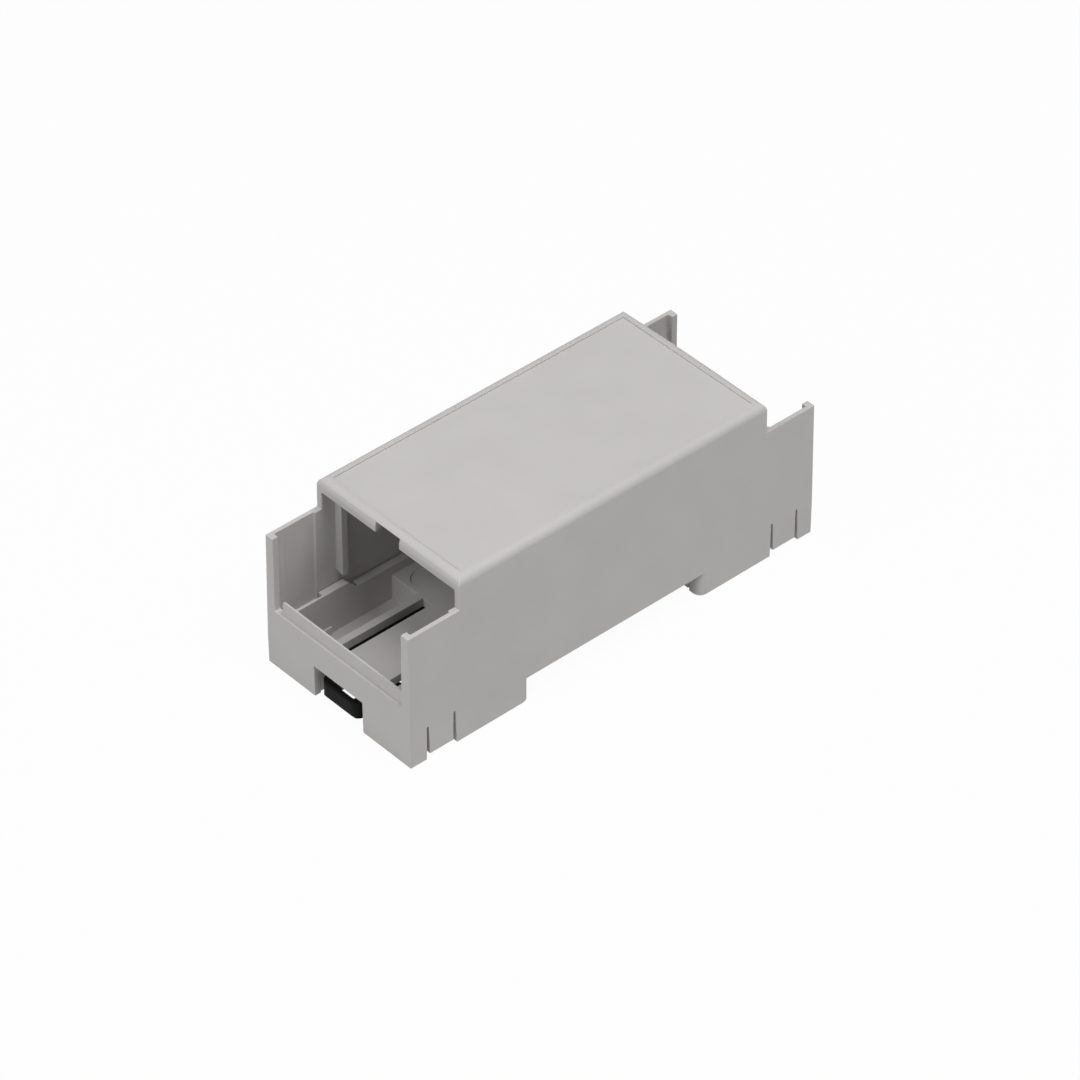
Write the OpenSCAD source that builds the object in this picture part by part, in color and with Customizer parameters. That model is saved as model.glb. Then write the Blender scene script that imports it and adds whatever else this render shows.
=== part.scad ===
// DIN rail enclosure, two modules wide: an outer shell, a base tray with the
// rail seat, and a sliding rail latch.
// X runs along the body (the latch is at -X), Y across it, Z up.
// The origin is the middle of the footprint, on the plane the feet stand on.

/* [View] */
// Piece to draw

/* [Body] */
// Length over both end walls
body_len = 90; // [86:0.5:110]
// Width over the side walls at the feet
body_w = 35.8; // [34:0.1:72]
// Height of the raised front above the feet
body_h = 33.4; // [31:0.1:60]
// Length of the raised front
front_len = 67.8; // [60:0.2:72]
// Height of the open end bays
bay_h = 27.3; // [20:0.1:28.5]
// Lean of the side walls, in degrees
side_draft = 0.6; // [0:0.1:0.9]
// Radius along the top edges of the raised front
edge_r = 1.5; // [0.5:0.1:2]

/* [Walls] */
// Side wall of the shell
wall = 1.2; // [1:0.05:1.5]
// Side wall in the end bays, above the base
bay_wall = 0.8; // [0.6:0.05:1]
// End wall of the shell
end_wall = 1.4; // [1.2:0.05:1.8]
// Roof under the label field
roof = 1.2; // [0.8:0.05:2]
// Clearance between the shell and the base
fit_gap = 0.3; // [0.2:0.05:0.4]

/* [Label field] */
// Depth of the sunk field
field_depth = 0.3; // [0.1:0.05:0.6]
// Border round the sunk field
field_rim = 1.85; // [1.6:0.05:4]

/* [Front ends] */
// Thickness of the lip under each end of the roof
lip_t = 1.35; // [0.8:0.05:1.8]
// Drop of the lip below the roof
lip_drop = 0.95; // [0.4:0.05:1.5]
// Width of the notch in the lip
lip_notch_w = 5.9; // [3:0.1:12]
// Roof left above the lip notch
lip_notch_cover = 0.7; // [0.5:0.05:1.2]

/* [End bays] */
// Height of the end wall, to the ledge
end_wall_h = 12.05; // [9:0.05:14]
// Height of the closing rim above the ledge
rim_h = 2.9; // [1:0.1:4]
// Gap between the closing rim and one of its posts
rim_gap = 1.7; // [0.5:0.1:3]
// Gap between the closing rim and the other post
rim_gap_small = 0.5; // [0.3:0.1:3]
// Set-back of the closing rim from the end wall
rim_inset = 0.3; // [0.2:0.05:0.5]
// Width of each corner post across the body
post_w = 1.75; // [1.4:0.05:2.5]
// Length of the full-thickness wall beyond the raised front
shoulder_len = 1.4; // [0.6:0.1:3]
// Guide strip beside each post: width
strip_w = 1.8; // [0.5:0.1:3]
// Guide strip beside each post: thickness
strip_t = 0.25; // [0.1:0.05:0.4]
// Guide strip beside each post: distance below the bay edge
strip_drop = 2.5; // [1:0.1:5]

/* [Feet] */
// Height where the end walls start to lean in
kink_z = 6.4; // [4.5:0.1:9]
// Lean of the end walls at the feet
foot_lean = 0.12; // [0:0.02:0.3]
// Lean of the end walls at the bay edges
bay_lean = 0.15; // [0:0.02:0.3]
// Radius of the upright edges at the rail recess
foot_r = 1.5; // [0.6:0.1:1.5]
// Length of the returns behind those edges
foot_return = 2.6; // [2:0.1:2.8]
// Thickness of the returns
foot_return_t = 0.9; // [0.7:0.05:1]

/* [Snap fingers] */
// Middle of each finger from the middle of the body
finger_x = 38.5; // [34:0.1:39]
// Width of a finger between its slits
finger_w = 4.9; // [3:0.1:6]
// Slit width at the feet
slit_w = 0.8; // [0.4:0.05:1.2]
// Slit width at its top
slit_top_w = 0.4; // [0.2:0.05:0.6]
// Height of the slits
slit_h = 6.75; // [5:0.05:9]
// Gap under the finger tips
finger_lift = 0.9; // [0.4:0.05:1.5]
// Reach of the catch on the finger
catch_reach = 0.75; // [0.5:0.05:0.9]
// Height of the catch on the finger
catch_h = 0.9; // [0.6:0.05:1.2]
// Clearance round the catch in the base
catch_gap = 0.2; // [0.1:0.05:0.3]

/* [Board ribs] */
// Outer face of each rib from the middle of the body
rib_x = 31; // [25:0.1:32]
// Width and depth of the ribs
rib_t = 1.35; // [1:0.05:1.6]
// Height of the rib ends
rib_end_z = 12.3; // [11:0.1:16]
// Rise of the slanted rib ends towards the wall
rib_end_rise = 0.5; // [0:0.1:1]

/* [Rail] */
// Width of the recess for the rail
recess_w = 38; // [37.4:0.1:40]
// Shift of the recess away from the latch
recess_shift = 0; // [-0.5:0.05:0.8]
// Depth of the recess
recess_h = 4.8; // [4.4:0.1:6]
// Width of the top-hat rail
rail_w = 35; // [34.6:0.1:35.4]
// Thickness of the rail flange
rail_t = 1; // [0.8:0.1:1.5]
// Overlap of the hooks and of the latch under the rail
rail_grip = 1.4; // [1:0.1:2]
// Room between the rail and its hooks
rail_gap = 0.3; // [0.1:0.05:0.4]
// Width of each fixed hook
hook_w = 8; // [4:0.5:9]
// Middle of each fixed hook from the middle of the body
hook_y = 9; // [6:0.5:10]
// Thickness of the fixed hooks
hook_t = 1.8; // [1.2:0.1:2.2]

/* [Base] */
// Side wall of the base
base_wall = 1.5; // [1.2:0.05:1.8]
// End wall of the base
base_end_wall = 1.25; // [1:0.05:1.6]
// Bottom of the base above the feet plane
base_lift = 0.35; // [0.2:0.05:0.6]
// Floor of the end pockets
floor_t = 1.25; // [1:0.05:1.6]
// Thickness of the floor over the rail
deck_t = 1.9; // [1.4:0.1:2.5]
// Board ledge above the feet plane
ledge_z = 8.6; // [7.5:0.1:10]
// Height of the corner lugs above the ledge
lug_h = 1.75; // [1:0.05:2.5]
// Thickness left of the side wall in the end bays
bay_fin_t = 0.4; // [0.3:0.05:0.8]
// End wall of the foot beside the recess
foot_wall = 1.5; // [1.3:0.05:2]
// Radius of the round fields on the floor
spot_r = 2.75; // [2:0.05:4]
// Depth of the round fields on the floor
spot_depth = 0.25; // [0.1:0.05:0.4]
// Middle of the round fields along the body
spot_x = 16.8; // [12:0.1:17]
// Middle of the round fields across the body
spot_y = 10.4; // [9:0.1:11.4]

/* [Latch] */
// Width of the latch body
latch_w = 13.5; // [11:0.1:15]
// Height of the latch
latch_h = 3.2; // [2.6:0.1:3.4]
// Running clearance of the latch
latch_gap = 0.2; // [0.1:0.05:0.3]
// Travel of the latch when it is pulled
latch_travel = 3; // [2:0.1:3.5]
// Width of the pull loop
loop_w = 9.4; // [7:0.1:10.5]
// Plan radius of the pull loop
loop_r = 1.7; // [0.5:0.1:2]
// Front bar of the pull loop
loop_bar = 0.95; // [0.8:0.05:1.5]
// Width of the opening in the pull loop
loop_hole_w = 5.5; // [4.5:0.1:6]
// Length of the opening in the pull loop
loop_hole_len = 4.3; // [4.2:0.1:5]
// Bevel on the edges of the pull loop
loop_bevel = 0.3; // [0.1:0.05:0.5]
// Width of the two arms of the latch
arm_w = 1.9; // [1.4:0.1:2.4]
// Width of the notch in the shell for the pull loop
notch_w = 12.1; // [11.5:0.1:13]
// Height of the notch in the shell
notch_h = 6.45; // [5.6:0.05:7.5]
// Walls on both sides of the latch channel
guide_t = 1.5; // [1:0.1:2]
// Half width of the tongue over the latch
tongue_half_w = 5.05; // [4:0.05:5.5]

/* [Colours] */
// Shell
shell_colour = "#C3C2BF";
// Base
base_colour = "#BDBCB9";
// Latch
latch_colour = "#1C1C1D";

/* [Hidden] */
$fn = 64;
over = 1;
end_x = body_len / 2;
end_in = end_x - end_wall;
front_x = front_len / 2;
roof_z = body_h - field_depth - roof;
lip_z = roof_z - lip_drop;
recess_near = recess_shift - recess_w / 2;
recess_far = recess_shift + recess_w / 2;
post_in = side_y(bay_h) - post_w;
rim_flat = 0.35;
rim_slope = 1.2;
rim_corner_r = 0.4;
rim_y0 = -post_in + rim_gap_small;
rim_y1 = post_in - rim_gap;
finger_slits = [finger_x - (finger_w + slit_w) / 2, finger_x + (finger_w + slit_w) / 2];
catch_top = finger_lift + catch_h;
catch_w = finger_w - 0.6;
catch_land = 0.2;
base_y = body_w / 2 - wall - fit_gap;
base_in_y = base_y - base_wall;
base_x = end_in - fit_gap;
base_end_in = base_x - base_end_wall;
deck_z = recess_h + deck_t;
return_gap = 0.2;
pocket_near = recess_near - foot_wall;
pocket_far = recess_far + foot_wall;
slot_end = pocket_near - 0.45;
lug_z = ledge_z + lug_h;
lug_out = front_x + shoulder_len - 0.1;
lug_in = rib_x - rib_t + 0.3;
lug_slope = lug_h;
groove_w = 0.35;
groove_depth = 1.5;
groove_skin = 0.25;
pad_t = 0.4;
pad_len = 7.05;
pad_z = 3.2;
latch_z = recess_h - latch_h;
tongue_z = recess_h + latch_gap;
channel_y = latch_w / 2 + latch_gap;
guide_y = channel_y + guide_t;
lip_reach = 0.8;
end_play = 0.1;
shoulder_x = end_in - latch_travel - end_play;
stop_t = 1.5;
stop_w = 3.2;
stop_lift = 0.5;
stop_x = shoulder_x - 5.6;
arm_end = 0.4 - recess_near;
bridge_len = 3.5;
window_x = stop_x + stop_t / 2 + end_play;
window_len = stop_x - arm_end - bridge_len;
rail_far = recess_far - rail_gap;
rail_near = rail_far - rail_w;
nose_x = rail_near + rail_grip;
hook_z = recess_h - rail_t - 0.15;
hook_lead = 0.5;
nose_z = hook_z - 0.05;
nose_ramp = 1.2;
nose_land = 0.4;

// Distance of the side wall from the middle of the body at a height.
function side_y(z) = body_w / 2 - z * tan(side_draft);

// Both mirror images of the children across the body.
module both_sides() {
    children();
    mirror([0, 1, 0]) children();
}

// Both mirror images of the children along the body.
module both_ends() {
    children();
    mirror([1, 0, 0]) children();
}

// A profile drawn in X and Z, extruded across the body from y0 to y1.
module across(y0, y1) {
    translate([0, y1, 0])
        rotate([90, 0, 0])
            linear_extrude(y1 - y0) children();
}

// A profile drawn in Y and Z, extruded along the body from x0 to x1.
module along(x0, x1) {
    translate([x0, 0, 0])
        rotate([90, 0, 90])
            linear_extrude(x1 - x0) children();
}

// A box between two corners.
module span(a, b) {
    translate(a) cube(b - a);
}

// Side view of the closed shell.
module side_view() {
    polygon([
        [-end_x + foot_lean, 0],
        [-end_x, kink_z],
        [-end_x + bay_lean, bay_h],
        [-front_x, bay_h],
        [-front_x, body_h - edge_r],
        [-front_x + edge_r, body_h],
        [front_x - edge_r, body_h],
        [front_x, body_h - edge_r],
        [front_x, bay_h],
        [end_x - bay_lean, bay_h],
        [end_x, kink_z],
        [end_x - foot_lean, 0]
    ]);
    for (side = [-1, 1])
        translate([side * (front_x - edge_r), body_h - edge_r]) circle(edge_r);
}

// End view of the closed shell.
module end_view() {
    round_z = body_h - edge_r;
    polygon([
        [-side_y(0), 0],
        [-side_y(round_z), round_z],
        [-side_y(round_z) + edge_r, body_h],
        [side_y(round_z) - edge_r, body_h],
        [side_y(round_z), round_z],
        [side_y(0), 0]
    ]);
    for (side = [-1, 1])
        translate([side * (side_y(round_z) - edge_r), round_z]) circle(edge_r);
}

// End view of the space between side walls of one thickness.
module inside_view(thickness, z0, z1) {
    polygon([
        [-side_y(z0) + thickness, z0],
        [side_y(z0) - thickness, z0],
        [side_y(z1) - thickness, z1],
        [-side_y(z1) + thickness, z1]
    ]);
}

// Space inside the shell: under the roof, under the lips and in the bays.
module shell_space() {
    intersection() {
        across(-body_w, body_w) polygon([
            [-end_in, -over],
            [end_in, -over],
            [end_in, bay_h + over],
            [front_x, bay_h + over],
            [front_x, lip_z],
            [front_x - lip_t, lip_z],
            [front_x - lip_t, roof_z],
            [-front_x + lip_t, roof_z],
            [-front_x + lip_t, lip_z],
            [-front_x, lip_z],
            [-front_x, bay_h + over],
            [-end_in, bay_h + over]
        ]);
        along(-body_len, body_len) inside_view(wall, -over, body_h);
    }
}

// Opening of one end bay between its posts, and its thinner side walls.
module bay_space() {
    span([-end_x - over, -post_in, end_wall_h], [-end_in + over, post_in, bay_h + over]);
    along(-end_in, -front_x - shoulder_len) inside_view(bay_wall, ledge_z, bay_h + over);
}

// Rim above the ledge of one end wall, where a terminal cover would close.
module bay_rim() {
    rim_top = end_wall_h + rim_h;
    rim_x = -end_x + rim_inset;
    intersection() {
        across(rim_y0, rim_y1) polygon([
            [rim_x, end_wall_h - over],
            [rim_x, rim_top],
            [rim_x + rim_flat, rim_top],
            [-end_in, rim_top - rim_slope],
            [-end_in, end_wall_h - over]
        ]);
        along(-end_x, -end_in) {
            translate([rim_y0, 0]) square([rim_y1 - rim_y0, rim_top - rim_corner_r]);
            translate([rim_y0 + rim_corner_r, 0])
                square([rim_y1 - rim_y0 - 2 * rim_corner_r, rim_top]);
            for (y = [rim_y0 + rim_corner_r, rim_y1 - rim_corner_r])
                translate([y, rim_top - rim_corner_r]) circle(rim_corner_r);
        }
    }
}

// Guide strip on the bay wall beside one post.
module bay_strip() {
    strip_x = end_in - strip_w;
    strip_top = bay_h - strip_drop;
    wall_y = side_y(strip_top) - bay_wall;
    span(
        [-strip_x - strip_w, wall_y - strip_t, end_wall_h - over],
        [-strip_x, wall_y + bay_wall / 2, strip_top]
    );
}

// Rib inside one side wall that stands over the board; its end is cut slanted.
module board_rib() {
    face_y = side_y(body_h) - wall - rib_t;
    along(-rib_x, -rib_x + rib_t) polygon([
        [face_y, rib_end_z],
        [side_y(rib_end_z) - wall / 2, rib_end_z + rib_end_rise],
        [side_y(roof_z) - wall / 2, roof_z + roof / 2],
        [face_y, roof_z + roof / 2]
    ]);
}

// The two slits and the raised tip of one snap finger in one side wall.
module finger_cut() {
    across(body_w / 4, body_w) {
        for (x = finger_slits)
            polygon([
                [-x - slit_w / 2, -over],
                [-x + slit_w / 2, -over],
                [-x + slit_top_w / 2, slit_h],
                [-x - slit_top_w / 2, slit_h]
            ]);
        translate([-finger_x - finger_w / 2 - slit_w / 2, -over])
            square([finger_w + slit_w, finger_lift + over]);
    }
}

// Catch on the inside of one snap finger.
module finger_catch() {
    inner_y = side_y(catch_top) - wall;
    along(-finger_x - catch_w / 2, -finger_x + catch_w / 2) polygon([
        [inner_y + wall / 2, finger_lift],
        [inner_y, finger_lift],
        [inner_y - catch_reach, catch_top - catch_land],
        [inner_y - catch_reach, catch_top],
        [inner_y + wall / 2, catch_top]
    ]);
}

// Returns of the side walls at one end of the rail recess, at x.
module foot_returns(x, dir) {
    both_sides()
        span(
            [min(x, x + dir * foot_return_t), side_y(0) - foot_return, 0],
            [max(x, x + dir * foot_return_t), side_y(recess_h) - wall / 2, recess_h - return_gap]
        );
}

// What has to go outside the rounded upright edge of one foot at x.
module foot_edge_cut(x, dir) {
    both_sides()
        translate([0, 0, -over])
            linear_extrude(recess_h + over)
                difference() {
                    translate([x + dir * (foot_r / 2 - over / 2), side_y(0) + over / 2 - foot_r / 2])
                        square([foot_r + over, foot_r + over], center = true);
                    translate([x + dir * foot_r, side_y(recess_h / 2) - foot_r])
                        circle(foot_r);
                    translate([x + dir * foot_r, side_y(0) - foot_r])
                        rotate(dir > 0 ? 0 : 90)
                            square([body_w, body_w]);
                    translate([x - body_w / 2, -body_w])
                        square([body_w, body_w + side_y(recess_h / 2) - foot_r]);
                }
}

// Outer shell: raised front, side walls, end walls, posts and snap fingers.
module shell() {
    color(shell_colour)
    difference() {
        union() {
            difference() {
                intersection() {
                    across(-body_w, body_w) side_view();
                    along(-body_len, body_len) end_view();
                }
                shell_space();
                both_ends() bay_space();
                span(
                    [recess_near, -body_w, -over],
                    [recess_far, body_w, recess_h]
                );
            }
            for (turn = [0, 180])
                rotate([0, 0, turn]) bay_rim();
            both_ends() both_sides() bay_strip();
            both_ends() both_sides() board_rib();
            both_ends() both_sides() finger_catch();
            foot_returns(recess_near, -1);
            foot_returns(recess_far, 1);
        }
        both_ends() both_sides() finger_cut();
        foot_edge_cut(recess_near, -1);
        foot_edge_cut(recess_far, 1);
        field_x = front_x - field_rim;
        field_y = side_y(body_h) - field_rim;
        span(
            [-field_x, -field_y, body_h - field_depth],
            [field_x, field_y, body_h + over]
        );
        both_ends()
            span(
                [-front_x - over, -lip_notch_w / 2, lip_z - over],
                [-front_x + lip_t + over / 2, lip_notch_w / 2, body_h - lip_notch_cover]
            );
        span(
            [-end_x - over, -notch_w / 2, -over],
            [-end_in + over, notch_w / 2, notch_h]
        );
    }
}

// Side wall of the base with its board ledge, sloped corner lugs and bay fins.
module base_side() {
    both_ends() {
        span(
            [-base_x, base_in_y, base_lift],
            [over, base_y, ledge_z]
        );
        across(base_in_y, base_y) polygon([
            [-lug_out, ledge_z - over],
            [-lug_out, lug_z],
            [-lug_in, lug_z],
            [-lug_in + lug_slope, ledge_z],
            [-lug_in + lug_slope, ledge_z - over]
        ]);
        span([-base_x, base_in_y, ledge_z - over], [-lug_out + over, base_in_y + bay_fin_t, lug_z]);
    }
}

// Narrow groove across the top of one base wall, at the foot of the lug's slope.
module ledge_groove() {
    groove_x = -lug_in + lug_slope;
    span(
        [groove_x, base_in_y + groove_skin, ledge_z - groove_depth],
        [groove_x + groove_w, base_y + over, lug_z + over]
    );
}

// Recess in the base wall for the catch of one snap finger.
module catch_recess() {
    span(
        [-finger_x - catch_w / 2 - catch_gap - 0.3, base_y - catch_reach, -over],
        [-finger_x + catch_w / 2 + catch_gap + 0.3, base_y + over, catch_top + catch_gap]
    );
}

// Small ledge inside the base wall that backs the catch recess.
module catch_ledge() {
    span(
        [-finger_x - finger_w / 2, base_in_y - pad_t, base_lift],
        [-finger_x - finger_w / 2 + pad_len, base_in_y + base_wall / 2, pad_z]
    );
}

// Fixed hook that holds the far edge of the rail.
module rail_hook() {
    tip_x = rail_far - rail_grip;
    root_x = recess_far + foot_wall / 2;
    across(-hook_w / 2, hook_w / 2) polygon([
        [tip_x, hook_z - hook_lead],
        [tip_x + hook_lead, hook_z],
        [root_x, hook_z],
        [root_x, hook_z - hook_t],
        [tip_x + hook_t / 2, hook_z - hook_t]
    ]);
}

// Walls, lips and tongue that guide the latch.
module latch_channel() {
    both_sides() {
        span([-base_x, channel_y, base_lift], [pocket_near, guide_y, deck_z]);
        span([-base_end_in, channel_y - lip_reach, base_lift], [recess_near, guide_y, latch_z - latch_gap]);
    }
    span([-base_x, -tongue_half_w, tongue_z], [slot_end + over, tongue_half_w, deck_z]);
    span(
        [-stop_x - stop_t / 2, -stop_w / 2, latch_z + stop_lift],
        [-stop_x + stop_t / 2, stop_w / 2, tongue_z + over]
    );
}

// Closed blocks of the base: side walls, end walls, pocket floors and deck.
module base_tray() {
    floor_top = base_lift + floor_t;
    both_sides() base_side();
    both_ends() span([-base_x, -base_y, base_lift], [-base_end_in, base_y, lug_z]);
    span([-base_x, -base_y, base_lift], [recess_near, base_y, floor_top]);
    span([recess_far, -base_y, base_lift], [base_x, base_y, floor_top]);
    span([pocket_near, -base_y, base_lift], [pocket_far, base_y, deck_z]);
}

// Clearance round the returns of the shell at one end of the rail recess.
module return_room(x0, x1) {
    both_sides()
        span([x0, side_y(0) - foot_return - return_gap, -over], [x1, body_w, recess_h]);
}

// Base tray: floor over the rail, two end pockets, rail hooks and latch channel.
module base() {
    color(base_colour)
    difference() {
        union() {
            difference() {
                base_tray();
                span([recess_near, -body_w, -over], [recess_far, body_w, recess_h]);
                span([-end_x, -channel_y, -over], [over, channel_y, recess_h]);
                span(
                    [-base_end_in - over / 2, -channel_y, recess_h - over],
                    [slot_end, channel_y, deck_z + over]
                );
            }
            both_sides() translate([0, hook_y, 0]) rail_hook();
            latch_channel();
            both_ends() both_sides() catch_ledge();
        }
        return_room(recess_near - foot_return_t - return_gap, recess_near + over);
        return_room(recess_far - over, recess_far + foot_return_t + return_gap);
        both_ends() both_sides() {
            catch_recess();
            ledge_groove();
        }
        both_ends() both_sides()
            translate([spot_x, spot_y, deck_z - spot_depth])
                cylinder(h = spot_depth + over, r = spot_r);
    }
}

// Outline of the latch seen from above.
module latch_plan() {
    loop_y = loop_w / 2;
    difference() {
        union() {
            translate([-end_x, -loop_y + loop_r]) square([end_x - shoulder_x + over, loop_w - 2 * loop_r]);
            translate([-end_x + loop_r, -loop_y]) square([end_x - shoulder_x + over - loop_r, loop_w]);
            for (side = [-1, 1])
                translate([-end_x + loop_r, side * (loop_y - loop_r)]) circle(loop_r);
            translate([-shoulder_x, -latch_w / 2]) square([shoulder_x - arm_end, latch_w]);
        }
        translate([-end_x + loop_bar, -loop_hole_w / 2]) square([loop_hole_len, loop_hole_w]);
        translate([-window_x, -latch_w / 2 + arm_w])
            square([window_len, latch_w - 2 * arm_w]);
    }
}

// Bevels along the upper and lower front edges of the pull loop.
module loop_bevels() {
    for (z = [latch_z, latch_z + latch_h])
        translate([-end_x, 0, z])
            rotate([0, 45, 0])
                cube([loop_bevel * sqrt(2), loop_w + over, loop_bevel * sqrt(2)], center = true);
}

// Sliding latch: pull loop, two arms and the nose that grips the rail.
module rail_latch() {
    color(latch_colour)
    difference() {
        union() {
            translate([0, 0, latch_z]) linear_extrude(latch_h) latch_plan();
            across(-latch_w / 2, latch_w / 2) polygon([
                [-arm_end - arm_w, latch_z],
                [nose_x - nose_ramp, latch_z],
                [nose_x, nose_z - 2 * nose_land],
                [nose_x, nose_z - nose_land],
                [nose_x - nose_land, nose_z],
                [-arm_end - arm_w, nose_z]
            ]);
        }
        loop_bevels();
    }
}

shell();
base();
rail_latch();
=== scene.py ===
"""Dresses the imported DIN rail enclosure: rounded moulded edges, plastic finishes, light and camera.

Everything is in metres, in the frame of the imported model: X along the body with the rail latch
at -X, Y across it, Z up, the origin in the middle of the footprint on the plane of the feet.
"""

import logging
import math
from dataclasses import dataclass, field
from enum import Enum
from typing import ClassVar, NamedTuple

import bmesh
import bpy
from mathutils import Matrix, Vector


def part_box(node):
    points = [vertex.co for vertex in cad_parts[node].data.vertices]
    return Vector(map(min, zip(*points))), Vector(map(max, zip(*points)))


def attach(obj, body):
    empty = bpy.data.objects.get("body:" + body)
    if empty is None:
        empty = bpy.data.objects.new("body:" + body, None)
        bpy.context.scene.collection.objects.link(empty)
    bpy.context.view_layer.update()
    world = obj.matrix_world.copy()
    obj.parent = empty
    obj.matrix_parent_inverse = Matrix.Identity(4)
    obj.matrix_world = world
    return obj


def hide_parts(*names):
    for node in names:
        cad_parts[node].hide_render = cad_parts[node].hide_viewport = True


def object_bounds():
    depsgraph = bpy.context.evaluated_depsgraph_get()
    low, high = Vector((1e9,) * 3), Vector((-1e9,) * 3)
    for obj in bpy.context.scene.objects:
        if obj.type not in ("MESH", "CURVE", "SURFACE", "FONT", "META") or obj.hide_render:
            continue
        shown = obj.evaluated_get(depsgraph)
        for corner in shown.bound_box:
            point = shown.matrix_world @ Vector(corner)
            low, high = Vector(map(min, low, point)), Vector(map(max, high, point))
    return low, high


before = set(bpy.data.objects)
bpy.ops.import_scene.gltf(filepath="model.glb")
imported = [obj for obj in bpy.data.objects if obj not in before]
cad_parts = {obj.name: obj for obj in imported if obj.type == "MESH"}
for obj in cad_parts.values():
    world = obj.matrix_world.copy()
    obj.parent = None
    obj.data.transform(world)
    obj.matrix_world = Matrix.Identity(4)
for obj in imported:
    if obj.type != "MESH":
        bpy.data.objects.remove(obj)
CAD_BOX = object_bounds()

logging.basicConfig(level=logging.INFO, format="%(name)s: %(message)s")
LOG = logging.getLogger("enclosure")

MM = 0.001

# How far from its stated level a corner may lie, and the width of a step that counts as sharp.
SLACK = 0.03 * MM
HAIR = 0.01 * MM

# The two sides of the middle plane, and the two ends of the body.
SIDES = (-1.0, 1.0)

# The linear colours of the mouldings.
LIGHT_GREY = (0.56, 0.545, 0.535)
BLACK = (0.011, 0.011, 0.011)


class Body(Enum):
    """The rigid bodies of the model."""

    HOUSING = "housing"
    LATCH = "latch"


class Slot(Enum):
    """The material slots of the record."""

    SHELL = "shell_plastic"
    BASE = "base_plastic"
    LATCH = "latch_plastic"


class Seen(Enum):
    """The kinds of ray that see the plain background colour of the studio."""

    CAMERA = "Is Camera Ray"
    GLOSSY = "Is Glossy Ray"
    TRANSMISSION = "Is Transmission Ray"


class Axis(Enum):
    """The three axes of the frame."""

    X = 0
    Y = 1
    Z = 2


class Span(NamedTuple):
    """Two limits on one axis.

    Attributes:
        low: lower limit, in metres.
        high: upper limit, in metres.
    """

    low: float
    high: float


class Trim(NamedTuple):
    """A size that the scene changes.

    Attributes:
        was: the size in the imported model, in metres.
        now: the size that it gets here, in metres.
    """

    was: float
    now: float


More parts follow.
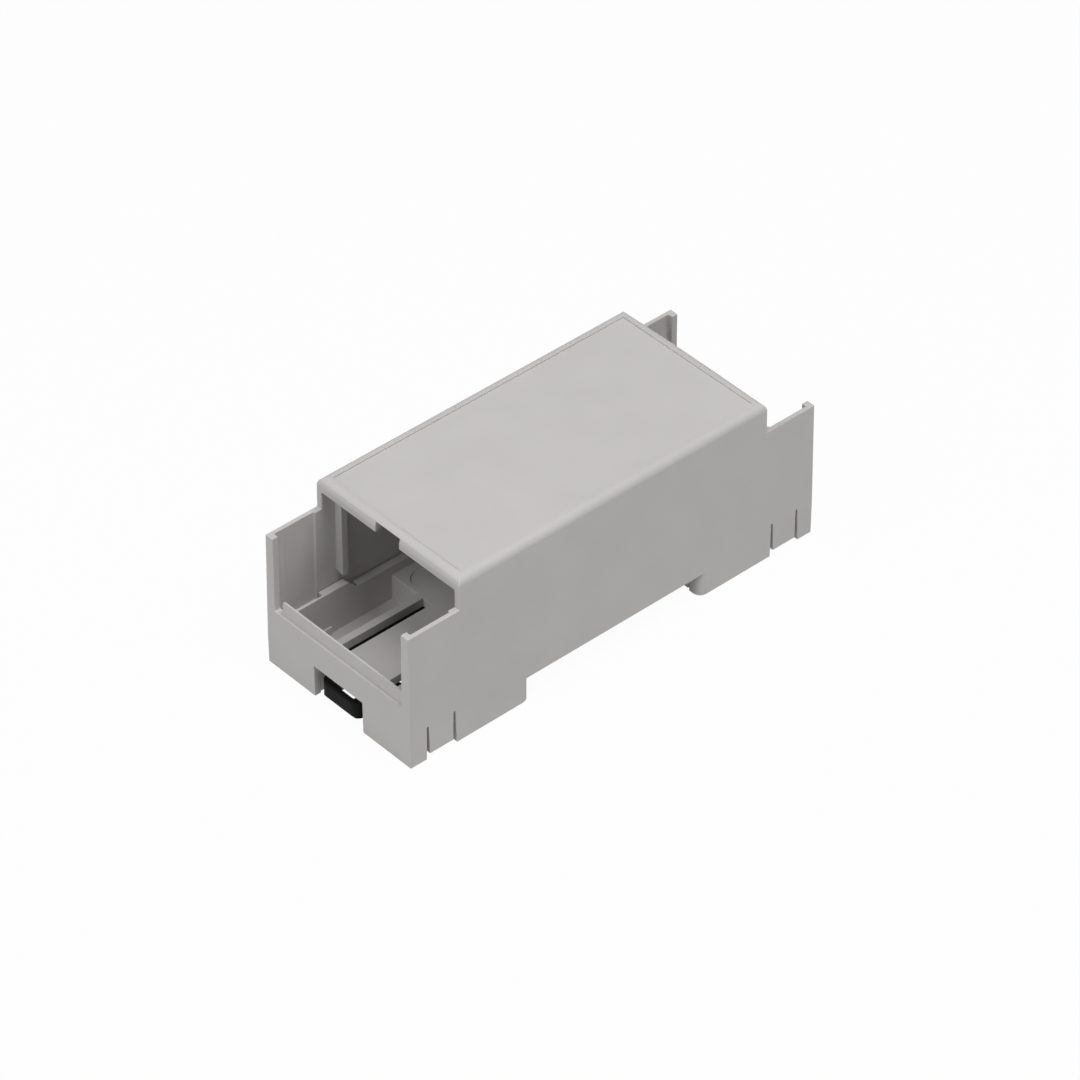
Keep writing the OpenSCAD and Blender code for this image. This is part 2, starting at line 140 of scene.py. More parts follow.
@dataclass(frozen=True)
class MouldedPlastic:
    """A moulded plastic with a fine spark-eroded grain.

    Attributes:
        name: name of the material.
        colour: linear base colour.
        roughness: mean roughness.
        roughness_swing: how far the roughness wanders from its mean.
        specular: specular level of the shader.
        grain_size: size of one grain of the surface, in metres.
        grain_depth: depth of the grain, in metres.
        mottle: share by which the colour wanders over the piece.
        mottle_size: size of one patch of that wandering, in metres.
        DARKEST: noise value at which the colour is darkest.
        LIGHTEST: noise value at which it is lightest.
        GLOSS_PATCHES: patches of gloss across one patch of the mottle.
        MOTTLE_DETAIL: octaves of the noise behind the mottle.
        FINE_DETAIL: octaves of the noises behind gloss and grain.
    """

    name: str
    colour: tuple[float, float, float]
    roughness: float = 0.55
    roughness_swing: float = 0.05
    specular: float = 0.35
    grain_size: float = 0.14 * MM
    grain_depth: float = 0.006 * MM
    mottle: float = 0.02
    mottle_size: float = 9.0 * MM

    DARKEST: ClassVar[float] = 0.3
    LIGHTEST: ClassVar[float] = 0.7
    GLOSS_PATCHES: ClassVar[float] = 5.0
    MOTTLE_DETAIL: ClassVar[float] = 3.0
    FINE_DETAIL: ClassVar[float] = 2.0

    def build(self) -> bpy.types.Material:
        """Builds the node material.

        Returns:
            The material, on Object coordinates.
        """
        material = bpy.data.materials.new(self.name)
        material.use_nodes = True
        tree = material.node_tree
        tree.nodes.clear()
        output = tree.nodes.new("ShaderNodeOutputMaterial")
        shader = tree.nodes.new("ShaderNodeBsdfPrincipled")
        shader.inputs["Specular IOR Level"].default_value = self.specular
        where = tree.nodes.new("ShaderNodeTexCoord").outputs["Object"]
        tree.links.new(shader.outputs["BSDF"], output.inputs["Surface"])
        self._colour(tree, shader, where)
        self._roughness(tree, shader, where)
        self._grain(tree, shader, where)
        return material

    def _noise(self, tree: bpy.types.NodeTree, where: bpy.types.NodeSocket, size: float,
               detail: float) -> bpy.types.NodeSocket:
        """Adds a noise with patches of one size.

        Args:
            tree: node tree of the material.
            where: socket with the coordinates.
            size: size of one patch, in metres.
            detail: octaves of finer noise on top.

        Returns:
            The socket with the noise's value.
        """
        noise = tree.nodes.new("ShaderNodeTexNoise")
        noise.inputs["Scale"].default_value = 1.0 / size
        noise.inputs["Detail"].default_value = detail
        tree.links.new(where, noise.inputs["Vector"])
        return noise.outputs["Fac"]

    def _colour(self, tree: bpy.types.NodeTree, shader: bpy.types.Node,
                where: bpy.types.NodeSocket) -> None:
        """Lets the base colour wander a little, as the pigment does.

        Args:
            tree: node tree of the material.
            shader: shader of the material.
            where: socket with the coordinates.
        """
        ramp = tree.nodes.new("ShaderNodeValToRGB")
        dark = [c * (1 - self.mottle) for c in self.colour]
        light = [c * (1 + self.mottle) for c in self.colour]
        ramp.color_ramp.elements[0].position = self.DARKEST
        ramp.color_ramp.elements[0].color = (*dark, 1)
        ramp.color_ramp.elements[1].position = self.LIGHTEST
        ramp.color_ramp.elements[1].color = (*light, 1)
        patches = self._noise(tree, where, self.mottle_size, self.MOTTLE_DETAIL)
        tree.links.new(patches, ramp.inputs["Fac"])
        tree.links.new(ramp.outputs["Color"], shader.inputs["Base Color"])

    def _roughness(self, tree: bpy.types.NodeTree, shader: bpy.types.Node,
                   where: bpy.types.NodeSocket) -> None:
        """Lets the roughness wander between its two limits.

        Args:
            tree: node tree of the material.
            shader: shader of the material.
            where: socket with the coordinates.
        """
        spread = tree.nodes.new("ShaderNodeMapRange")
        spread.inputs["To Min"].default_value = self.roughness - self.roughness_swing
        spread.inputs["To Max"].default_value = self.roughness + self.roughness_swing
        patches = self._noise(tree, where, self.mottle_size / self.GLOSS_PATCHES, self.FINE_DETAIL)
        tree.links.new(patches, spread.inputs["Value"])
        tree.links.new(spread.outputs["Result"], shader.inputs["Roughness"])

    def _grain(self, tree: bpy.types.NodeTree, shader: bpy.types.Node,
               where: bpy.types.NodeSocket) -> None:
        """Adds the fine grain of the mould as a bump.

        Args:
            tree: node tree of the material.
            shader: shader of the material.
            where: socket with the coordinates.
        """
        bump = tree.nodes.new("ShaderNodeBump")
        bump.inputs["Strength"].default_value = 1.0
        bump.inputs["Distance"].default_value = self.grain_depth
        grains = self._noise(tree, where, self.grain_size, self.FINE_DETAIL)
        tree.links.new(grains, bump.inputs["Height"])
        tree.links.new(bump.outputs["Normal"], shader.inputs["Normal"])


@dataclass(frozen=True)
class StudioSurface:
    """A floor or backdrop that shows its own plain colour and keeps a soft shadow.

    Attributes:
        name: name of the material.
        albedo: share of the light that the surface gives back to the object.
        shown: brightness of the plain colour, where 1 is white.
        plain: share of the plain colour in what the camera sees; the rest shows the shadow.
    """

    name: str
    albedo: float
    shown: float
    plain: float

    def build(self) -> bpy.types.Material:
        """Builds the node material.

        Returns:
            The material.
        """
        material = bpy.data.materials.new(self.name)
        material.use_nodes = True
        tree = material.node_tree
        tree.nodes.clear()
        output = tree.nodes.new("ShaderNodeOutputMaterial")
        diffuse = tree.nodes.new("ShaderNodeBsdfDiffuse")
        diffuse.inputs["Color"].default_value = (self.albedo, self.albedo, self.albedo, 1)
        emission = tree.nodes.new("ShaderNodeEmission")
        emission.inputs["Strength"].default_value = self.shown
        mix = tree.nodes.new("ShaderNodeMixShader")
        share = tree.nodes.new("ShaderNodeMath")
        share.operation = "MULTIPLY"
        share.inputs[1].default_value = self.plain
        tree.links.new(background_ray(tree), share.inputs[0])
        tree.links.new(share.outputs[0], mix.inputs["Fac"])
        tree.links.new(diffuse.outputs[0], mix.inputs[1])
        tree.links.new(emission.outputs[0], mix.inputs[2])
        tree.links.new(mix.outputs[0], output.inputs["Surface"])
        return material


def background_ray(tree: bpy.types.NodeTree) -> bpy.types.NodeSocket:
    """Adds up the kinds of ray that see the plain background.

    Args:
        tree: node tree of a material or of the world.

    Returns:
        A socket that is 1 for those rays and 0 for all others.
    """
    path = tree.nodes.new("ShaderNodeLightPath")
    total = path.outputs[Seen.CAMERA.value]
    for kind in (Seen.GLOSSY, Seen.TRANSMISSION):
        larger = tree.nodes.new("ShaderNodeMath")
        larger.operation = "MAXIMUM"
        tree.links.new(total, larger.inputs[0])
        tree.links.new(path.outputs[kind.value], larger.inputs[1])
        total = larger.outputs[0]
    return total


@dataclass
class EdgeRounding:
    """Small fillets on the sharp edges of a moulded piece.

    A Geometry Nodes tree marks each sharp edge with a bevel weight. The weight follows the room
    that the faces beside the edge have, so a thin rib gets a finer fillet than a broad wall.

    Attributes:
        radius: fillet on an edge with plenty of room, in metres.
        share: most of the narrowest face beside an edge that its fillet may take.
        limit: angle between two faces above which their edge is sharp, in degrees.
        segments: faces across one fillet.
        ROOM: name of the edge attribute with the room beside an edge.
        WEIGHT: name of the edge attribute that the Bevel modifier reads.
        BROAD: how strongly the broad faces steer the normals, of 100.
    """

    radius: float = 0.12 * MM
    share: float = 0.14
    limit: float = 28.0
    segments: int = 3

    ROOM: ClassVar[str] = "room"
    WEIGHT: ClassVar[str] = "bevel_weight_edge"
    BROAD: ClassVar[int] = 100

    def tree(self) -> bpy.types.NodeTree:
        """Builds the node tree that turns the room beside each edge into a bevel weight.

        Returns:
            The tree, with the inputs Radius, Share, Limit and Finish.
        """
        tree = bpy.data.node_groups.new("moulded_edges", "GeometryNodeTree")
        panel = tree.interface
        panel.new_socket("Geometry", in_out="INPUT", socket_type="NodeSocketGeometry")
        for name in ("Radius", "Share", "Limit"):
            panel.new_socket(name, in_out="INPUT", socket_type="NodeSocketFloat")
        panel.new_socket("Finish", in_out="INPUT", socket_type="NodeSocketMaterial")
        panel.new_socket("Geometry", in_out="OUTPUT", socket_type="NodeSocketGeometry")
        node, link = tree.nodes.new, tree.links.new
        given = node("NodeGroupInput")
        room = node("GeometryNodeInputNamedAttribute")
        room.data_type = "FLOAT"
        room.inputs["Name"].default_value = self.ROOM
        allowed = self._math(tree, "MULTIPLY", room.outputs["Attribute"], given.outputs["Share"])
        taken = self._math(tree, "MINIMUM", allowed, given.outputs["Radius"])
        weight = self._math(tree, "DIVIDE", taken, given.outputs["Radius"])
        angle = node("GeometryNodeInputMeshEdgeAngle").outputs["Unsigned Angle"]
        sharp = self._math(tree, "GREATER_THAN", angle, given.outputs["Limit"])
        store = node("GeometryNodeStoreNamedAttribute")
        store.data_type = "FLOAT"
        store.domain = "EDGE"
        store.inputs["Name"].default_value = self.WEIGHT
        link(given.outputs["Geometry"], store.inputs["Geometry"])
        link(self._math(tree, "MULTIPLY", weight, sharp), store.inputs["Value"])
        real = node("GeometryNodeRealizeInstances")
        dressed = node("GeometryNodeSetMaterial")
        link(store.outputs["Geometry"], real.inputs["Geometry"])
        link(real.outputs["Geometry"], dressed.inputs["Geometry"])
        link(given.outputs["Finish"], dressed.inputs["Material"])
        link(dressed.outputs["Geometry"], node("NodeGroupOutput").inputs["Geometry"])
        return tree

    def _math(self, tree: bpy.types.NodeTree, operation: str, first: bpy.types.NodeSocket,
              second: bpy.types.NodeSocket) -> bpy.types.NodeSocket:
        """Adds one sum on two sockets.

        Args:
            tree: node tree that gets the sum.
            operation: name of the sum, as the Math node has it.
            first: socket with the first value.
            second: socket with the second value.

        Returns:
            The socket with the result.
        """
        step = tree.nodes.new("ShaderNodeMath")
        step.operation = operation
        tree.links.new(first, step.inputs[0])
        tree.links.new(second, step.inputs[1])
        return step.outputs[0]

    def measure(self, mesh: bpy.types.Mesh) -> None:
        """Stores on each edge the width of the narrowest face beside it.

        Args:
            mesh: closed mesh with one face for each flat side.
        """
        form = bmesh.new()
        form.from_mesh(mesh)
        widths = [min((width_from(edge, face) for face in edge.link_faces), default=0.0)
                  for edge in form.edges]
        form.free()
        layer = mesh.attributes.new(self.ROOM, "FLOAT", "EDGE")
        layer.data.foreach_set("value", widths)

    def apply(self, piece: bpy.types.Object, finish: bpy.types.Material) -> bpy.types.Mesh:
        """Rounds the edges of a piece.

        Args:
            piece: object with a closed mesh.
            finish: material of the whole piece.

        Returns:
            A plain mesh with fillets and steady normals on its broad faces.
        """
        self.measure(piece.data)
        self._mark(piece, finish)
        self._fillet(piece)
        result = bpy.data.meshes.new_from_object(
            piece.evaluated_get(bpy.context.evaluated_depsgraph_get()))
        piece.modifiers.clear()
        drop_attributes(result, (self.ROOM, self.WEIGHT))
        return result

    def _mark(self, piece: bpy.types.Object, finish: bpy.types.Material) -> None:
        """Puts the tree with the bevel weights on a piece.

        Args:
            piece: object with a measured mesh.
            finish: material of the whole piece.
        """
        marks = piece.modifiers.new("marks", "NODES")
        marks.node_group = self.tree()
        values = {"Radius": self.radius, "Share": self.share,
                  "Limit": math.radians(self.limit), "Finish": finish}
        for item in marks.node_group.interface.items_tree:
            if item.in_out == "INPUT" and item.name in values:
                marks[item.identifier] = values[item.name]

    def _fillet(self, piece: bpy.types.Object) -> None:
        """Puts the fillets on a piece, and keeps the shading of its broad faces flat.

        Args:
            piece: object with bevel weights.
        """
        bevel = piece.modifiers.new("fillets", "BEVEL")
        bevel.limit_method = "WEIGHT"
        bevel.width = self.radius
        bevel.segments = self.segments
        bevel.use_clamp_overlap = False
        bevel.miter_outer = "MITER_ARC"
        bevel.loop_slide = False
        steady = piece.modifiers.new("steady", "WEIGHTED_NORMAL")
        steady.keep_sharp = True
        steady.weight = self.BROAD


def drop_attributes(mesh: bpy.types.Mesh, names: tuple[str, ...]) -> None:
    """Removes the named attributes from a mesh, where it has them.

    Args:
        mesh: mesh that loses them.
        names: names of the attributes.
    """
    for name in names:
        layer = mesh.attributes.get(name)
        if layer is not None:
            mesh.attributes.remove(layer)


# A width beyond any in the object, and the cosine above which two edges count as parallel.
FAR = 1.0
PARALLEL = 0.95


def width_from(edge: bmesh.types.BMEdge, face: bmesh.types.BMFace) -> float:
    """Measures how far a face reaches from one of its edges to the next one across.

    Args:
        edge: an edge of the face.
        face: a flat face.

    Returns:
        The shortest way in the plane of the face from points of the edge to an edge that
        doesn't touch it, and at most the length of the edges that do.
    """
    corners = set(edge.verts)
    start, stop = (v.co for v in edge.verts)
    near = FAR
    for other in face.edges:
        if other is edge:
            continue
        if corners & set(other.verts):
            along = (other.verts[0].co - other.verts[1].co).normalized()
            if abs(along.dot((stop - start).normalized())) < PARALLEL:
                near = min(near, other.calc_length())
            continue
        first, last = (v.co for v in other.verts)
        near = min(near, segment_gap(start, stop, first, last))
    return near


def segment_gap(a: Vector, b: Vector, c: Vector, d: Vector) -> float:
    """Gives the least distance between two coplanar segments that don't cross.

    Args:
        a: start of the first segment.
        b: end of the first segment.
        c: start of the second segment.
        d: end of the second segment.

    Returns:
        The distance, in metres.
    """
    return min(point_gap(a, c, d), point_gap(b, c, d), point_gap(c, a, b), point_gap(d, a, b))


def point_gap(point: Vector, start: Vector, stop: Vector) -> float:
    """Gives the distance between a point and a segment.

    Args:
        point: the point.
        start: start of the segment.
        stop: end of the segment.

    Returns:
        The distance, in metres.
    """
    run = stop - start
    share = min(1.0, max(0.0, (point - start).dot(run) / run.length_squared))
    return (start + share * run - point).length


@dataclass(frozen=True)
class Region:
    """A box in the frame.

    Attributes:
        low: lower corner, in metres.
        high: upper corner, in metres.
    """

    low: tuple[float, float, float]
    high: tuple[float, float, float]

    @classmethod
    def spanning(cls, x: tuple[float, float], y: tuple[float, float], z: tuple[float, float]) -> "Region":
        """Makes a box from its limits on each axis, given in either order.

        Args:
            x: limits along the body, in metres.
            y: limits across the body, in metres.
            z: limits of the height, in metres.

        Returns:
            The box.
        """
        return cls((min(x), min(y), min(z)), (max(x), max(y), max(z)))

    def holds(self, corner: bmesh.types.BMVert) -> bool:
        """Tells whether a corner of a mesh lies in the box.

        Args:
            corner: the corner.

        Returns:
            True for a corner inside or on the box.
        """
        return all(lo <= value <= hi for lo, value, hi in zip(self.low, corner.co, self.high))


def about(level: float) -> Span:
    """Gives the narrow span that holds what lies on one level.

    Args:
        level: the level, in metres.

    Returns:
        The level with the slack on both sides.
    """
    return Span(level - SLACK, level + SLACK)


@dataclass(frozen=True)
class Split:
    """A new edge line across the faces of a piece that lie in one box.

    Attributes:
        region: box that holds the faces.
        axis: axis that the line is square to.
        level: place of the line on that axis, in metres.
    """

    region: Region
    axis: Axis
    level: float

    def apply(self, form: bmesh.types.BMesh) -> None:
        """Splits the faces.

        Args:
            form: mesh of the piece.
        """
        faces = [face for face in form.faces if all(self.region.holds(v) for v in face.verts)]
        edges = {edge for face in faces for edge in face.edges}
        corners = {corner for face in faces for corner in face.verts}
        normal = [0.0, 0.0, 0.0]
        normal[self.axis.value] = 1.0
        place = [0.0, 0.0, 0.0]
        place[self.axis.value] = self.level
        bmesh.ops.bisect_plane(form, geom=[*corners, *edges, *faces], plane_co=place, plane_no=normal)


@dataclass(frozen=True)
class Levelling:
    """A move of the corners of a piece that lie in one box, along one axis to one level.

    Attributes:
        region: box that holds the corners.
        axis: axis that they move along.
        level: where they end on that axis, in metres.
    """

    region: Region
    axis: Axis
    level: float

    def apply(self, form: bmesh.types.BMesh) -> None:
        """Moves the corners.

        Args:
            form: mesh of the piece.
        """
        moved = [corner for corner in form.verts if self.region.holds(corner)]
        for corner in moved:
            corner.co[self.axis.value] = self.level
        LOG.info("%d corners moved along %s", len(moved), self.axis.name)


@dataclass(frozen=True)
class Shift:
    """A move of the corners of a piece that lie in one box, by one step along one axis.

    Attributes:
        region: box that holds the corners.
        axis: axis that they move along.
        step: how far they move, in metres.
    """

    region: Region
    axis: Axis
    step: float

    def apply(self, form: bmesh.types.BMesh) -> None:
        """Moves the corners.

        Args:
            form: mesh of the piece.
        """
        moved = [corner for corner in form.verts if self.region.holds(corner)]
        for corner in moved:
            corner.co[self.axis.value] += self.step
        LOG.info("%d corners shifted along %s", len(moved), self.axis.name)


# One small change to the corners and faces of a piece.
Change = Split | Levelling | Shift


@dataclass
class MouldedPart:
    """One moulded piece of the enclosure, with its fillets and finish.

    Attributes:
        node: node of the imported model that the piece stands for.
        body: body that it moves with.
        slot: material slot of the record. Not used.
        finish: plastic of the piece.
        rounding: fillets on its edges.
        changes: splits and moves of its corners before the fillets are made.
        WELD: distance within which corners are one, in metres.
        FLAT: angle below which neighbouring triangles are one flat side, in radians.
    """

    node: str
    body: Body
    slot: Slot
    finish: MouldedPlastic
    rounding: EdgeRounding = field(default_factory=EdgeRounding)
    changes: tuple[Change, ...] = ()

    WELD: ClassVar[float] = 0.001 * MM
    FLAT: ClassVar[float] = math.radians(0.4)

    def outline(self) -> bpy.types.Mesh:
        """Copies the node's triangles into one welded mesh with a face for each flat side.

        Returns:
            The mesh, with the changes made and no fillets yet.
        """
        form = bmesh.new()
        form.from_mesh(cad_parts[self.node].data)
        bmesh.ops.remove_doubles(form, verts=form.verts, dist=self.WELD)
        for change in self.changes:
            change.apply(form)
        bmesh.ops.dissolve_degenerate(form, dist=self.WELD, edges=form.edges)
        bmesh.ops.remove_doubles(form, verts=form.verts, dist=self.WELD)
        bmesh.ops.dissolve_limit(form, angle_limit=self.FLAT, use_dissolve_boundaries=False,
                                 verts=form.verts, edges=form.edges)
        mesh = bpy.data.meshes.new(f"{self.node}_outline")
        form.to_mesh(mesh)
        form.free()
        drop_attributes(mesh, ("custom_normal",))
        return mesh

    def keep_inside(self, mesh: bpy.types.Mesh) -> None:
        """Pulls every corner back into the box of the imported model.

        Args:
            mesh: mesh of the dressed piece.
        """
        low, high = CAD_BOX
        for corner in mesh.vertices:
            corner.co = [min(max(value, lo), hi) for lo, value, hi in zip(low, corner.co, high)]

    def build(self) -> bpy.types.Object:
        """Builds the dressed piece and lets it ride on its body.

        Returns:
            The piece, which replaces its node.
        """
        draft = bpy.data.objects.new(f"{self.node}_draft", self.outline())
        bpy.context.scene.collection.objects.link(draft)
        mesh = self.rounding.apply(draft, self.finish.build())
        bpy.data.objects.remove(draft)
        self.keep_inside(mesh)
        mesh.name = f"{self.node}_dressed"
        piece = bpy.data.objects.new(f"{self.node}_dressed", mesh)
        bpy.context.scene.collection.objects.link(piece)
        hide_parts(self.node)
        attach(piece, self.body.value)
        LOG.info("%s: %d faces", piece.name, len(mesh.polygons))
        return piece


@dataclass
class Housing:
    """The outer shell and the base tray.

    Attributes:
        rim_height: heights between which the terminal rims are changed.
        rim_end: distances from the middle plane between which their ends near a post lie.
        rim_depth: how far in from the end of the shell those ends reach.
        post_face: where they end here, just short of the corner post.
        rim_front: outer face of the rims, from the middle of the body.
        rim_back: inner edge of their flat tops, from the middle of the body.
        strip_face: inner face of the guide strips at their tops, from the middle plane.
        strip_end: height at which that face ends. From there it slopes back to the wall.
        notch_half: half the width that holds a notch of the roof lips.
        notch_top: height of the tops of these notches.
        lip_foot: height of the lower edges of the roof lips.
        mouth_depth: how far in from the latch end the notch for the pull loop is changed.
        mouth_top: height of the top of that notch.
        finger_span: stretch along the body that holds the snap fingers at the latch end.
        finger_face: distance from the middle plane beyond which they lie.
        finger_top: height below which they and their slits lie.
        finger_step: how far they move towards the middle of the body.
        end_face: outer face of the base at the latch end.
        tongue_half: half the width of the tongue between the slots.
        channel_half: half the width of the latch channel below the slots.
        channel_top: height at which the channel meets the slots.
        channel_end: inner end of the channel.
        mouth_half: half the width of the channel's mouth in the end wall.
        mouth_end: inner end of that mouth.
    """

    rim_height: Span = Span(12.0 * MM, 15.1 * MM)
    rim_end: Span = Span(14.9 * MM, 15.4 * MM)
    rim_depth: float = 1.45 * MM
    post_face: float = 15.854 * MM
    rim_front: Trim = Trim(44.7 * MM, 44.55 * MM)
    rim_back: Trim = Trim(44.35 * MM, 44.2 * MM)
    strip_face: float = 16.59 * MM
    strip_end: Trim = Trim(24.8 * MM, 19.5 * MM)
    notch_half: float = 3.0 * MM
    notch_top: Trim = Trim(32.7 * MM, 32.95 * MM)
    lip_foot: Trim = Trim(30.95 * MM, 30.83 * MM)
    mouth_depth: float = 2.9 * MM
    mouth_top: Trim = Trim(6.45 * MM, 6.6 * MM)
    finger_span: Span = Span(-42.5 * MM, -34.5 * MM)
    finger_face: float = 15.0 * MM
    finger_top: float = 7.0 * MM
    finger_step: float = 0.28 * MM
    end_face: Trim = Trim(-43.3 * MM, -43.57 * MM)
    tongue_half: Trim = Trim(5.05 * MM, 4.9 * MM)
    channel_half: Trim = Trim(6.95 * MM, 7.45 * MM)
    channel_top: float = 5.0 * MM
    channel_end: float = -18.9 * MM
    mouth_half: float = 6.05 * MM
    mouth_end: float = -42.05 * MM

    def shell_changes(self) -> tuple[Change, ...]:
        """Gives the small changes of the shell.

        Returns:
            The changes, in the order in which they are made.
        """
        changes: list[Change] = []
        for side in SIDES:
            changes += [*self._rim(side), self._strip(side), self._finger(side)]
        return (*changes, *self._openings())

    def _rim(self, side: float) -> list[Change]:
        """Lets the terminal rim of one end reach its post, and sets it back a little.

        Args:
            side: -1 for the latch end, 1 for the other one.

        Returns:
            The changes.
        """
        low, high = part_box("shell")
        end = Region.spanning((side * high.x, side * (high.x - self.rim_depth)),
                              (side * self.rim_end.low, side * self.rim_end.high), self.rim_height)
        changes: list[Change] = [Levelling(end, Axis.Y, side * self.post_face)]
        for face in (self.rim_front, self.rim_back):
            row = Region.spanning(about(side * face.was), (low.y, high.y), self.rim_height)
            changes.append(Levelling(row, Axis.X, side * face.now))
        return changes

    def _strip(self, side: float) -> Change:
        """Lets the guide strips on one side wall run out in a slope.

        Args:
            side: -1 for the wall at -Y, 1 for the wall at +Y.

        Returns:
            The change.
        """
        low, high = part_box("shell")
        tops = Region.spanning((low.x, high.x), about(side * self.strip_face), about(self.strip_end.was))
        return Levelling(tops, Axis.Z, self.strip_end.now)

    def _finger(self, side: float) -> Change:
        """Moves one snap finger at the latch end, with its catch and its two slits.

        Args:
            side: -1 for the wall at -Y, 1 for the wall at +Y.

        Returns:
            The change.
        """
        low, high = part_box("shell")
        wall = (side * self.finger_face, side * high.y)
        finger = Region.spanning(self.finger_span, wall, (low.z, self.finger_top))
        return Shift(finger, Axis.X, self.finger_step)

    def _openings(self) -> list[Change]:
        """Raises the three notches of the shell and deepens its roof lips.

        Returns:
            The changes.
        """
        low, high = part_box("shell")
        along, across = (low.x, high.x), (low.y, high.y)
        notches = Region.spanning(along, (-self.notch_half, self.notch_half), about(self.notch_top.was))
        lips = Region.spanning(along, across, about(self.lip_foot.was))
        mouth = Region.spanning((low.x, low.x + self.mouth_depth), across, about(self.mouth_top.was))
        return [
            Levelling(notches, Axis.Z, self.notch_top.now),
            Levelling(lips, Axis.Z, self.lip_foot.now),
            Levelling(mouth, Axis.Z, self.mouth_top.now),
        ]

    def base_changes(self) -> tuple[Change, ...]:
        """Gives the small changes of the base.

        Returns:
            The changes, in the order in which they are made.
        """
        low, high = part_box("base")
        changes: list[Change] = []
        for side in SIDES:
            changes += self._channel(side)
        end = Region.spanning(about(self.end_face.was), (low.y, high.y), (low.z, high.z))
        return (*changes, Levelling(end, Axis.X, self.end_face.now))

    def _channel(self, side: float) -> list[Change]:
        """Changes one side of the latch channel and of the tongue above it.

        Below the slots the channel is wider than they are, so that the latch shows under their
        edges, and its mouth in the end wall is as narrow as the notch of the shell.

        Args:
            side: -1 for the side at -Y, 1 for the side at +Y.

        Returns:
            The changes.
        """
        low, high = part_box("base")
        middle = self.mouth_end + HAIR / 2
        brow = self.channel_top - HAIR / 2
        wall = about(side * self.channel_half.was)
        whole = Region.spanning((low.x, 0.0), wall, (low.z, high.z))
        mouth = Region.spanning((low.x, middle), wall, (low.z, brow))
        channel = Region.spanning((middle, self.channel_end), wall, (low.z, brow))
        tongue = Region.spanning((low.x, self.channel_end), about(side * self.tongue_half.was),
                                 (brow, high.z))
        return [
            Split(whole, Axis.Z, self.channel_top),
            Split(whole, Axis.Z, self.channel_top - HAIR),
            Split(whole, Axis.X, self.mouth_end),
            Split(whole, Axis.X, self.mouth_end + HAIR),
            Levelling(mouth, Axis.Y, side * self.mouth_half),
            Levelling(channel, Axis.Y, side * self.channel_half.now),
            Levelling(tongue, Axis.Y, side * self.tongue_half.now),
        ]

    def build(self) -> list[bpy.types.Object]:
        """Builds both pieces.

        Returns:
            The shell and the base.
        """
        shell = MouldedPart("shell", Body.HOUSING, Slot.SHELL,
                            MouldedPlastic("shell_plastic", LIGHT_GREY), changes=self.shell_changes())
        base = MouldedPart("base", Body.HOUSING, Slot.BASE,
                           MouldedPlastic("base_plastic", LIGHT_GREY), changes=self.base_changes())
        return [shell.build(), base.build()]


@dataclass
class RailLatch:
    """The black latch that slides in the base.

    Attributes:
        body_half: half the width of its body, which fills the channel here.
        nose_half: half its width in front of the step, which passes the mouth of the channel
            when the latch is pulled.
        step: place of the step along the body.
    """

    body_half: Trim = Trim(6.75 * MM, 7.25 * MM)
    nose_half: float = 5.85 * MM
    step: float = -38.5 * MM

    def changes(self) -> tuple[Change, ...]:
        """Gives the small changes of the latch.

        Returns:
            The changes, in the order in which they are made.
        """
        low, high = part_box("rail_latch")
        middle = self.step + HAIR / 2
        changes: list[Change] = []
        for side in SIDES:
            face, height = about(side * self.body_half.was), (low.z, high.z)
            whole = Region.spanning((low.x, high.x), face, height)
            front = Region.spanning((low.x, middle), face, height)
            rear = Region.spanning((middle, high.x), face, height)
            changes += [
                Split(whole, Axis.X, self.step),
                Split(whole, Axis.X, self.step + HAIR),
                Levelling(front, Axis.Y, side * self.nose_half),
                Levelling(rear, Axis.Y, side * self.body_half.now),
            ]
        return tuple(changes)

    def build(self) -> list[bpy.types.Object]:
        """Builds the latch.

        Returns:
            The latch alone.
        """
        plastic = MouldedPlastic("latch_plastic", BLACK, roughness=0.5, specular=0.04,
                                 grain_depth=0.004 * MM)
        latch = MouldedPart("rail_latch", Body.LATCH, Slot.LATCH, plastic,
                            EdgeRounding(radius=0.2 * MM), changes=self.changes())
        return [latch.build()]


def direction(azimuth: float, elevation: float) -> Vector:
    """Gives the direction from the object towards a lamp or a camera.

    Args:
        azimuth: turn about Z in degrees, 0 on the side of -Y, negative towards -X.
        elevation: height above the horizon, in degrees.

    Returns:
        The direction, of length 1.
    """
    turn, rise = math.radians(azimuth), math.radians(elevation)
    level = math.cos(rise)
    return Vector((math.sin(turn) * level, -math.cos(turn) * level, math.sin(rise)))


@dataclass(frozen=True)
class SoftLamp:
    """A large square lamp that points at the middle of the object.

    Attributes:
        name: name of the lamp.
        power: power, in watts.
        azimuth: turn about Z in degrees, 0 for a lamp on the side of -Y, negative towards -X.
        elevation: height above the horizon, in degrees.
        size: side of the lamp, in metres.
        distance: from the middle of the object's footprint, in metres.
    """

    name: str
    power: float
    azimuth: float
    elevation: float
    size: float = 0.7
    distance: float = 1.2

    def build(self) -> None:
        """Hangs the lamp and aims it."""
        towards = direction(self.azimuth, self.elevation)
        data = bpy.data.lights.new(self.name, "AREA")
        data.shape = "SQUARE"
        data.size = self.size
        data.energy = self.power
        lamp = bpy.data.objects.new(self.name, data)
        lamp.location = towards * self.distance
        lamp.rotation_euler = towards.to_track_quat("Z", "Y").to_euler()
        bpy.context.scene.collection.objects.link(lamp)


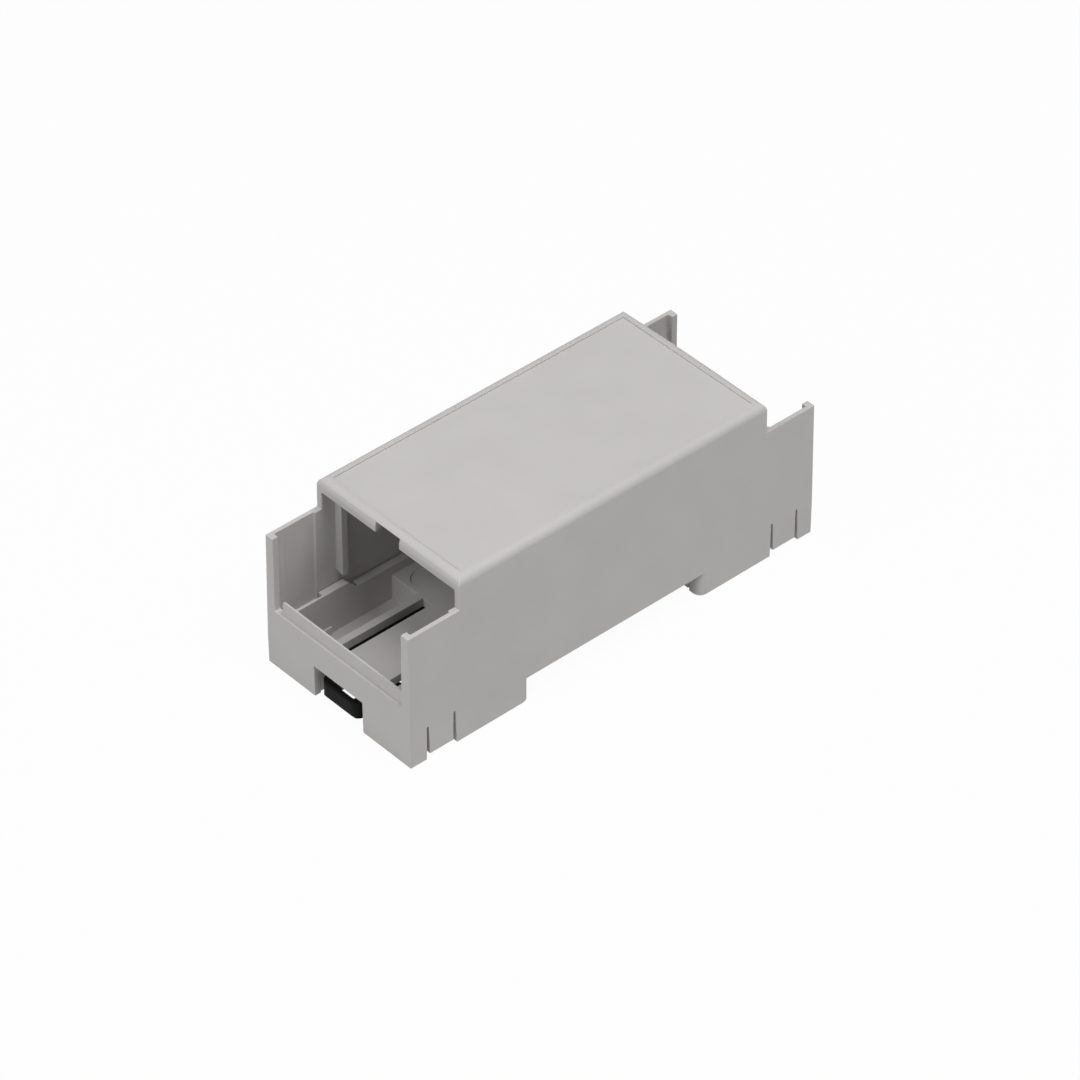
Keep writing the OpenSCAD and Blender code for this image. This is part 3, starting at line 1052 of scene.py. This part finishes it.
@dataclass
class Studio:
    """Pale floor, white surroundings and soft light.

    Attributes:
        floor_size: side of the square floor, in metres.
        floor_gap: gap between the feet and the floor, in metres.
        floor: surface of the floor.
        sky: brightness of the soft light from all round.
        lamps: the lamps.
    """

    floor_size: float = 6.0
    floor_gap: float = 0.02 * MM
    floor: StudioSurface = StudioSurface("pale_floor", albedo=0.68, shown=1.0, plain=0.965)
    sky: float = 0.226
    lamps: tuple[SoftLamp, ...] = (
        SoftLamp("key_lamp", power=9.5, azimuth=0.0, elevation=71.0),
        SoftLamp("bay_lamp", power=4.4, azimuth=-90.0, elevation=44.0),
    )

    def build(self) -> None:
        """Builds the floor, the world and the lamps."""
        self._floor()
        self._world()
        for lamp in self.lamps:
            lamp.build()

    def _floor(self) -> None:
        """Lays the floor just under the feet."""
        half = self.floor_size / 2
        level = CAD_BOX[0].z - self.floor_gap
        mesh = bpy.data.meshes.new("floor")
        corners = [(-half, -half, level), (half, -half, level),
                   (half, half, level), (-half, half, level)]
        mesh.from_pydata(corners, [], [(0, 1, 2, 3)])
        mesh.materials.append(self.floor.build())
        floor = bpy.data.objects.new("floor", mesh)
        bpy.context.scene.collection.objects.link(floor)

    def _world(self) -> None:
        """Lights the object softly from all round, and shows white behind it."""
        world = bpy.data.worlds.new("studio")
        world.use_nodes = True
        tree = world.node_tree
        tree.nodes.clear()
        light = tree.nodes.new("ShaderNodeBackground")
        light.inputs["Strength"].default_value = self.sky
        white = tree.nodes.new("ShaderNodeBackground")
        white.inputs["Strength"].default_value = 1.0
        mix = tree.nodes.new("ShaderNodeMixShader")
        output = tree.nodes.new("ShaderNodeOutputWorld")
        tree.links.new(background_ray(tree), mix.inputs["Fac"])
        tree.links.new(light.outputs[0], mix.inputs[1])
        tree.links.new(white.outputs[0], mix.inputs[2])
        tree.links.new(mix.outputs[0], output.inputs["Surface"])
        bpy.context.scene.world = world


@dataclass
class View:
    """The camera, given as a point it looks at and a direction it looks from.

    Attributes:
        azimuth: turn of the camera about Z in degrees, 0 for a look along +Y.
        elevation: height above the horizon, in degrees.
        roll: turn about the line of sight, in degrees.
        distance: from the point looked at, in metres.
        lens: focal length in millimetres.
        sensor: width of the sensor in millimetres.
        nearest: least distance from the camera at which things show, in metres.
        aim: point looked at, from the middle of the object's box, in metres.
    """

    azimuth: float = -41.957
    elevation: float = 39.899
    roll: float = 0.059
    distance: float = 0.940054
    lens: float = 188.85
    sensor: float = 36.0
    nearest: float = 0.05
    aim: Vector = field(default_factory=lambda: Vector((-0.879, -0.077, -4.071)) * MM)

    def build(self) -> None:
        """Builds the camera and makes it the scene's."""
        turn = math.radians(self.azimuth)
        back = direction(self.azimuth, self.elevation)
        right = Vector((math.cos(turn), math.sin(turn), 0.0))
        up = back.cross(right)
        target = (CAD_BOX[0] + CAD_BOX[1]) / 2 + self.aim
        data = bpy.data.cameras.new("camera")
        data.lens = self.lens
        data.sensor_width = self.sensor
        data.clip_start = self.nearest
        camera = bpy.data.objects.new("camera", data)
        bpy.context.scene.collection.objects.link(camera)
        axes = Matrix((right, up, back)).transposed().to_4x4()
        camera.matrix_world = (Matrix.Translation(target + back * self.distance) @ axes
                               @ Matrix.Rotation(math.radians(self.roll), 4, "Z"))
        bpy.context.scene.camera = camera


def main() -> None:
    """Builds the object, the studio and the camera in order."""
    for assembly in (Housing(), RailLatch()):
        for piece in assembly.build():
            LOG.info("built %s", piece.name)
    Studio().build()
    View().build()
    bpy.context.scene.view_settings.view_transform = "Standard"


if __name__ == "__main__":
    main()
